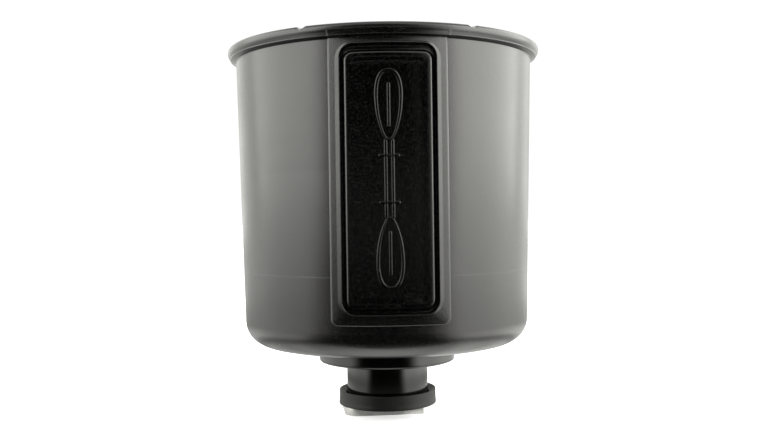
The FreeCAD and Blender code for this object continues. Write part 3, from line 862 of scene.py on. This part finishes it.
def make_nut():
    """Hexagon with chamfered corners and a plain bore."""
    low, high = NUT_LOW[2], NUT_HIGH[2]
    flat_r = NUT_ACROSS_FLATS / 2
    face_r = flat_r - NUT_FACE_INSET
    corner_r = flat_r / math.cos(math.radians(30))
    sides = 96
    loops = []
    rows = [(NUT_BORE_R, low), (face_r, low), (corner_r, low + NUT_CHAMFER_H)]
    rows += [(corner_r, high - NUT_CHAMFER_H), (face_r, high), (NUT_BORE_R, high)]
    for r, z in rows:
        loop = []
        for i in range(sides):
            a = 2 * math.pi * i / sides
            to_flat = (a % (math.pi / 3)) - math.pi / 6
            reach = min(r, flat_r / math.cos(to_flat))
            loop.append((*swung(reach, 0.0, a + math.pi / 6), z))
        loops.append(loop)
    points, faces = loops_bridged(loops + [loops[0]], close_last=False)
    piece("lock_nut", points, faces, "cup", NUT_STEEL, ["hex_nut"])


def make_plug():
    """Ring that fills the pocket above the nut."""
    low, high = PLUG_LOW[2], PLUG_HIGH[2]
    corners = [(PLUG_BORE_R, low), (PLUG_R, low), (PLUG_R, high), (PLUG_BORE_R, high)]
    points, faces = turned(rounded(corners, {2: PLUG_EDGE_R, 3: PLUG_EDGE_R}), even_angles(96))
    piece("nut_plug", points, faces, "cup", PLUG_PLASTIC, ["nut_retainer"])


def make_washer():
    """Flat slip ring between the neck and the collar."""
    low, high = WASHER_LOW[2], WASHER_HIGH[2]
    corners = [(WASHER_BORE_R, low), (WASHER_R, low), (WASHER_R, high), (WASHER_BORE_R, high)]
    radii = {corner: WASHER_EDGE_R for corner in (1, 2, 3)}
    points, faces = turned(rounded(corners, radii, support=0.1), even_angles(120))
    piece("slip_washer", points, faces, "collar", WASHER_PLASTIC, ["thrust_washer"])


def make_collar():
    """Ring with a broader foot, a sloping way in at its top and a groove for the neck's bead."""
    foot_r, height = COLLAR_HIGH[0], COLLAR_HIGH[2]
    corners = [
        (COLLAR_HOLE_R, 0.0),
        (foot_r, 0.0),
        (foot_r - COLLAR_DRAFT, COLLAR_SKIRT_Z),
        (COLLAR_TOP_R, COLLAR_SHOULDER_Z),
        (COLLAR_TOP_R, height),
        (COLLAR_LIP_R, height),
        (COLLAR_BORE_R, COLLAR_LAND_Z),
        (COLLAR_BORE_R, COLLAR_GROOVE_HIGH_Z),
        (COLLAR_GROOVE_R, COLLAR_GROOVE_HIGH_Z),
        (COLLAR_GROOVE_R, COLLAR_GROOVE_LOW_Z),
        (COLLAR_BORE_R, COLLAR_GROOVE_LOW_Z),
        (COLLAR_BORE_R, COLLAR_FLOOR_Z),
        (COLLAR_HOLE_R, COLLAR_FLOOR_Z),
    ]
    radii = {0: 0.2, 1: 0.35, 2: 0.3, 3: 0.8, 4: 0.15, 5: 0.08}
    points, faces = turned(rounded(corners, radii, arc_steps=7), even_angles(144))
    piece("rubber_foot", points, faces, "collar", COLLAR_RUBBER, ["rubber_collar"])


# ---- screws ----
SCREW_TIP_R, SCREW_TIP_H, SCREW_SHANK_R = 0.9, 1.1, 1.95
SCREW_HEAD_R, SCREW_HEAD_H = 4.0, 2.4
CROSS_L, CROSS_W, CROSS_D = 4.2, 0.9, 1.2


def make_screws():
    """Pan-head screws with cross recesses, in one piece."""
    low, head_top = SCREWS_LOW[2], SCREWS_HIGH[2]
    head_low = head_top - SCREW_HEAD_H
    corners = [
        (0.0, low),
        (SCREW_TIP_R, low),
        (SCREW_SHANK_R, low + SCREW_TIP_H),
        (SCREW_SHANK_R, head_low),
        (SCREW_HEAD_R, head_low),
        (SCREW_HEAD_R, head_top),
        (0.0, head_top),
    ]
    points, faces = turned(rounded(corners, {4: 0.2, 5: 1.7}, arc_steps=8), even_angles(48))
    screws, slots_one_way, slots_other_way = [], [], []
    for x, y in SCREW_PLACES:
        screws.append(([(px + x, py + y, pz) for px, py, pz in points], faces))
        slots_one_way.append(box_shape(x, y, head_top - CROSS_D, CROSS_W, CROSS_L, 2 * CROSS_D))
        slots_other_way.append(box_shape(x, y, head_top - CROSS_D, CROSS_L, CROSS_W, 2 * CROSS_D))
    points, faces = merged(screws)
    heads = piece("floor_screws", points, faces, "cup", SCREW_STEEL, ["base_screws"])
    cut_holes(heads, slots_one_way)
    cut_holes(heads, slots_other_way)


def box_shape(x, y, low_z, width, depth, height):
    """A closed box standing on low_z."""
    points = []
    for z in (low_z, low_z + height):
        for sx, sy in SQUARE:
            points.append((x + sx * width / 2, y + sy * depth / 2, z))
    faces = [(3, 2, 1, 0), (4, 5, 6, 7), (0, 1, 5, 4), (1, 2, 6, 5), (2, 3, 7, 6), (3, 0, 4, 7)]
    return points, faces


# ---- track bolt ----
HEAD_LENGTH, HEAD_WIDTH, HEAD_OFFSET, HEAD_YAW = 27.2, 15.6, -1.8, 4.8
HEAD_ROUND_R, HEAD_SQUARE_R = 5.0, 0.6
HEAD_TOP_Z = -0.3
STUD_R, STUD_FOOT_Z, STUD_CHAMFER = 3.15, -0.6, 0.6
THREAD_PITCH, THREAD_DEPTH, THREAD_HALF_SHARE = 1.27, 0.7, 0.42
THREAD_START_Z, THREAD_FADE_H = 1.2, 0.8


def make_bolt_head():
    """Flat head with two round and two square corners, turned a little about the upright axis."""
    low, top = BOLT_LOW[2], HEAD_TOP_Z
    half_l, half_w = HEAD_LENGTH / 2, HEAD_WIDTH / 2
    corners = [(HEAD_OFFSET + sx * half_l, sy * half_w) for sx, sy in SQUARE]
    radii = {0: HEAD_ROUND_R, 1: HEAD_SQUARE_R, 2: HEAD_ROUND_R, 3: HEAD_SQUARE_R}
    outline = rounded(corners, radii, arc_steps=12, support=0.3)
    yaw = math.radians(HEAD_YAW)
    # how far in from the outline, and the height, from the foot up
    rows = [(0.6, low), (0.25, low), (0.08, low + 0.08), (0.0, low + 0.25)]
    rows += [(0.0, top - 0.3), (0.1, top - 0.1), (0.3, top), (0.7, top)]
    loops = []
    for inset, z in rows:
        shrink_x = 1 - inset / half_l
        shrink_y = 1 - inset / half_w
        loop = []
        for x, y in outline:
            px, py = HEAD_OFFSET + (x - HEAD_OFFSET) * shrink_x, y * shrink_y
            loop.append((*swung(px, py, yaw), z))
        loops.append(loop)
    points, faces = loops_bridged(loops, close_first=True)
    piece("bolt_head", points, faces, "bolt", BOLT_STEEL, ["track_bolt"])


def make_bolt_stud():
    """Stud with a rolled helical thread."""
    low, top = STUD_FOOT_Z, BOLT_HIGH[2]
    around_steps, rows_per_turn = 48, 12
    rows = int((top - low) / THREAD_PITCH * rows_per_turn)
    loops = []
    for k in range(rows + 1):
        z = low + (top - low) * k / rows
        loop = []
        for i in range(around_steps):
            a = 2 * math.pi * i / around_steps
            phase = (z / THREAD_PITCH - a / (2 * math.pi)) % 1.0
            groove = max(0.0, 1.0 - abs(phase - 0.5) / THREAD_HALF_SHARE)
            fade = min(1.0, max(0.0, (z - THREAD_START_Z) / THREAD_FADE_H))
            chamfer = max(0.0, STUD_CHAMFER - (top - z))
            r = STUD_R - groove * THREAD_DEPTH * fade - chamfer
            loop.append((*swung(r, 0.0, a), z))
        loops.append(loop)
    points, faces = loops_bridged(loops, close_first=True)
    piece("bolt_stud", points, faces, "bolt", BOLT_STEEL, sharp_angle=60.0)


# ---- studio ----
CAMERA_DISTANCE, CAMERA_HEIGHT = 324.0, 66.6
FOCAL_LENGTH = 43.01
OBJECT_YAW, PICTURE_ROLL = 1.65, 0.8
AIM_X, AIM_DROP = -0.42, 1.05

LIGHT_COLOUR = (1.0, 1.0, 0.955, 1.0)
SEEN_WHITE = 1.05
# the floor and the card: half a side, radius and drops below the bolt, in metres
FLOOR_HALF_SIDE, FLOOR_DROP = 6.0, 0.0002
CARD_R, CARD_DROP = 2.0, 0.0001
FLOOR_GLOW = 0.6
# the dark sector in front of the object is turned a little to the left
DARK_TURN = 5.5
WORLD_DARK, WORLD_BRIGHT = -0.87, -0.66
WORLD_LEFT, WORLD_RIGHT, WORLD_BACK = 1.45, 1.82, 1.22
CARD_DARK, CARD_BRIGHT = -0.82, -0.54
CARD_LEFT, CARD_RIGHT, CARD_BACK = 1.6, 2.6, 0.55
# how far a direction points to the side or backwards where a change in brightness starts and ends
SIDE_SPAN = (-0.6, 0.6)
BACK_SPAN = (0.1, 0.8)
# each step is: where it starts, where it ends, level before it, level after it
OVERHEAD = (0.5, 0.9, 1.0, 0.6)
FAR_BEHIND = (0.84, 0.98, 1.0, 0.5)
# and on the card, by the distance from its middle in metres
CARD_FOOT = (0.062, 0.074, 0.2, 0.0)
CARD_NEAR = (0.082, 0.104, 0.34, 0.9)
CARD_MIDDLE = (0.150, 0.230, 0.0, -0.33)
CARD_FAR = (0.250, 0.500, 0.0, 0.6)
# light that the foot of the object gets from all round, in front too
CARD_ROUND = (0.062, 0.074, 0.13, 0.0)
# side boxes: side, name, power in watts, degrees round from the front
SIDE_BOXES = ((-1, "left_box", 3.3, 80.0), (1, "right_box", 4.9, 84.0))
BOX_DISTANCE, BOX_HEIGHT, BOX_SIZE, BOX_AIM_Z = 600.0, 340.0, (900.0, 600.0), 80.0
UNDER_PLACE, UNDER_SIZE, UNDER_POWER, UNDER_SPREAD = (0.0, -40.0, -2.8), (120.0, 32.0), 0.006, 100.0


def make_camera():
    """The camera, in front of the object, a little left of its middle and rolled a little."""
    data = bpy.data.cameras.new("camera")
    data.lens = FOCAL_LENGTH
    data.sensor_width = 36.0
    data.clip_start, data.clip_end = 0.01, 50.0
    camera = linked("camera", data)
    yaw = math.radians(OBJECT_YAW)
    place = Vector((-math.sin(yaw), -math.cos(yaw), 0)) * CAMERA_DISTANCE + Vector((0, 0, CAMERA_HEIGHT))
    aim = Vector((AIM_X, 0.0, CAMERA_HEIGHT - AIM_DROP))
    look = (aim - place).to_track_quat("-Z", "Y").to_matrix().to_4x4()
    roll = Matrix.Rotation(math.radians(-PICTURE_ROLL), 4, "Z")
    camera.matrix_world = Matrix.Translation(place * MM) @ look @ roll
    bpy.context.scene.camera = camera


def area_light(name, place, aim, size, power):
    """A soft box; places and sizes in millimetres."""
    data = bpy.data.lights.new(name, "AREA")
    data.shape = "RECTANGLE"
    data.size, data.size_y = size[0] * MM, size[1] * MM
    data.energy = power
    data.color = LIGHT_COLOUR[:3]
    light = linked(name, data)
    turn = (Vector(aim) - Vector(place)).to_track_quat("-Z", "Y").to_matrix().to_4x4()
    light.matrix_world = Matrix.Translation(Vector(place) * MM) @ turn
    return light


def make_floor():
    """A pale sheet that glows a little, as a light table does."""
    z = BOLT_LOW[2] * MM - FLOOR_DROP
    corners = [(sx * FLOOR_HALF_SIDE, sy * FLOOR_HALF_SIDE, z) for sx, sy in SQUARE]
    floor = mesh_object("floor", corners, [(0, 1, 2, 3)], unit=1.0)
    shader = Shader("floor_paper", 0.9, 0.1)
    shader.colours(shader.noise(40.0, 2.0), (0.86, 0.86, 0.86), (0.88, 0.88, 0.88))
    shader.bsdf.inputs["Emission Color"].default_value = (1.0, 1.0, 1.0, 1.0)
    shader.bsdf.inputs["Emission Strength"].default_value = FLOOR_GLOW
    floor.data.materials.append(shader.material)


def make_world():
    """White all round for the camera; for light, bright at the sides, dim overhead, dark in front."""
    world = bpy.data.worlds.new("studio")
    bpy.context.scene.world = world
    world.use_nodes = True
    tree = world.node_tree
    way = tree.nodes.new("ShaderNodeTexCoord").outputs["Generated"]
    background = tree.nodes["Background"]
    background.inputs["Color"].default_value = LIGHT_COLOUR
    glow = side_glow(tree, way, WORLD_DARK, WORLD_BRIGHT, WORLD_LEFT, WORLD_RIGHT, WORLD_BACK)
    tree.links.new(glow, background.inputs["Strength"])
    seen = tree.nodes.new("ShaderNodeBackground")
    seen.inputs["Color"].default_value = (1.0, 1.0, 1.0, 1.0)
    seen.inputs["Strength"].default_value = SEEN_WHITE
    path = tree.nodes.new("ShaderNodeLightPath")
    mix = tree.nodes.new("ShaderNodeMixShader")
    tree.links.new(path.outputs["Is Camera Ray"], mix.inputs["Fac"])
    tree.links.new(background.outputs["Background"], mix.inputs[1])
    tree.links.new(seen.outputs["Background"], mix.inputs[2])
    tree.links.new(mix.outputs["Shader"], tree.nodes["World Output"].inputs["Surface"])


def vector_value(tree, operation, vector, output="Value", axis=None):
    """The result of a vector operation, with an axis as its second input if one is given."""
    node = tree.nodes.new("ShaderNodeVectorMath")
    node.operation = operation
    tree.links.new(vector, node.inputs[0])
    if axis:
        node.inputs[1].default_value = axis
    return node.outputs[output]


def combined(tree, value, *steps):
    """A value worked on by (operation, other value) pairs in turn."""
    for operation, other in steps:
        node = tree.nodes.new("ShaderNodeMath")
        node.operation = operation
        tree.links.new(value, node.inputs[0])
        tree.links.new(other, node.inputs[1])
        value = node.outputs["Value"]
    return value


def side_glow(tree, way, dark, bright, left, right, back):
    """Brightness round the object: none in front, its own at each side and behind, less overhead."""
    back_axis = (math.sin(math.radians(DARK_TURN)), math.cos(math.radians(DARK_TURN)), 0.0)
    backwards = vector_value(tree, "DOT_PRODUCT", way, axis=back_axis)
    sideways = vector_value(tree, "DOT_PRODUCT", way, axis=(1.0, 0.0, 0.0))
    upwards = vector_value(tree, "DOT_PRODUCT", way, axis=(0.0, 0.0, 1.0))
    open_front = remap(tree, backwards, dark, bright, 0.0, 1.0)
    sides = remap(tree, sideways, *SIDE_SPAN, left, right)
    behind = remap(tree, backwards, *BACK_SPAN, 1.0, back)
    far_behind = remap(tree, backwards, *FAR_BEHIND)
    overhead = remap(tree, upwards, *OVERHEAD)
    factors = [("MULTIPLY", factor) for factor in (sides, behind, far_behind, overhead)]
    return combined(tree, open_front, *factors)


def make_reflector():
    """A card on the floor that only reflections see: dark in front, bright at the sides."""
    steps = 96
    z = BOLT_LOW[2] * MM - CARD_DROP
    points = [(x, y, z) for x, y in around(steps, CARD_R, 0)]
    card = mesh_object("reflector", points, [tuple(range(steps))], unit=1.0)
    card.visible_camera = False
    card.visible_diffuse = False
    card.visible_shadow = False
    material = bpy.data.materials.new("reflector_card")
    material.use_nodes = True
    tree = material.node_tree
    tree.nodes.remove(tree.nodes["Principled BSDF"])
    place = tree.nodes.new("ShaderNodeTexCoord").outputs["Object"]
    distance = vector_value(tree, "LENGTH", place)
    way = vector_value(tree, "NORMALIZE", place, "Vector")
    round_glow = side_glow(tree, way, CARD_DARK, CARD_BRIGHT, CARD_LEFT, CARD_RIGHT, CARD_BACK)
    rings = (CARD_FOOT, CARD_NEAR, CARD_MIDDLE, CARD_FAR, CARD_ROUND)
    foot, near, middle, far, all_round = [remap(tree, distance, *ring) for ring in rings]
    levels = combined(tree, foot, ("ADD", near), ("ADD", middle), ("ADD", far))
    product = combined(tree, levels, ("MULTIPLY", round_glow), ("ADD", all_round))
    glow = tree.nodes.new("ShaderNodeEmission")
    glow.inputs["Color"].default_value = LIGHT_COLOUR
    tree.links.new(product, glow.inputs["Strength"])
    tree.links.new(glow.outputs["Emission"], tree.nodes["Material Output"].inputs["Surface"])
    card.data.materials.append(material)


def make_lights():
    """A large soft box on each side, clear of the picture, and a faint light under the cup's front."""
    for side, name, power, azimuth in SIDE_BOXES:
        a = math.radians(azimuth)
        place = (side * BOX_DISTANCE * math.sin(a), -BOX_DISTANCE * math.cos(a), BOX_HEIGHT)
        area_light(name, place, (0.0, 0.0, BOX_AIM_Z), BOX_SIZE, power)
    straight_up = (UNDER_PLACE[0], UNDER_PLACE[1], BOX_AIM_Z)
    glow = area_light("under_glow", UNDER_PLACE, straight_up, UNDER_SIZE, UNDER_POWER)
    glow.data.spread = math.radians(UNDER_SPREAD)


make_shell()
make_badge_pad()
make_emblem()
make_liner()
make_floor_pad()
make_track_base()
make_nut()
make_plug()
make_washer()
make_collar()
make_screws()
make_bolt_head()
make_bolt_stud()
make_floor()
make_world()
make_reflector()
make_lights()
make_camera()
bpy.context.scene.view_settings.view_transform = "Standard"
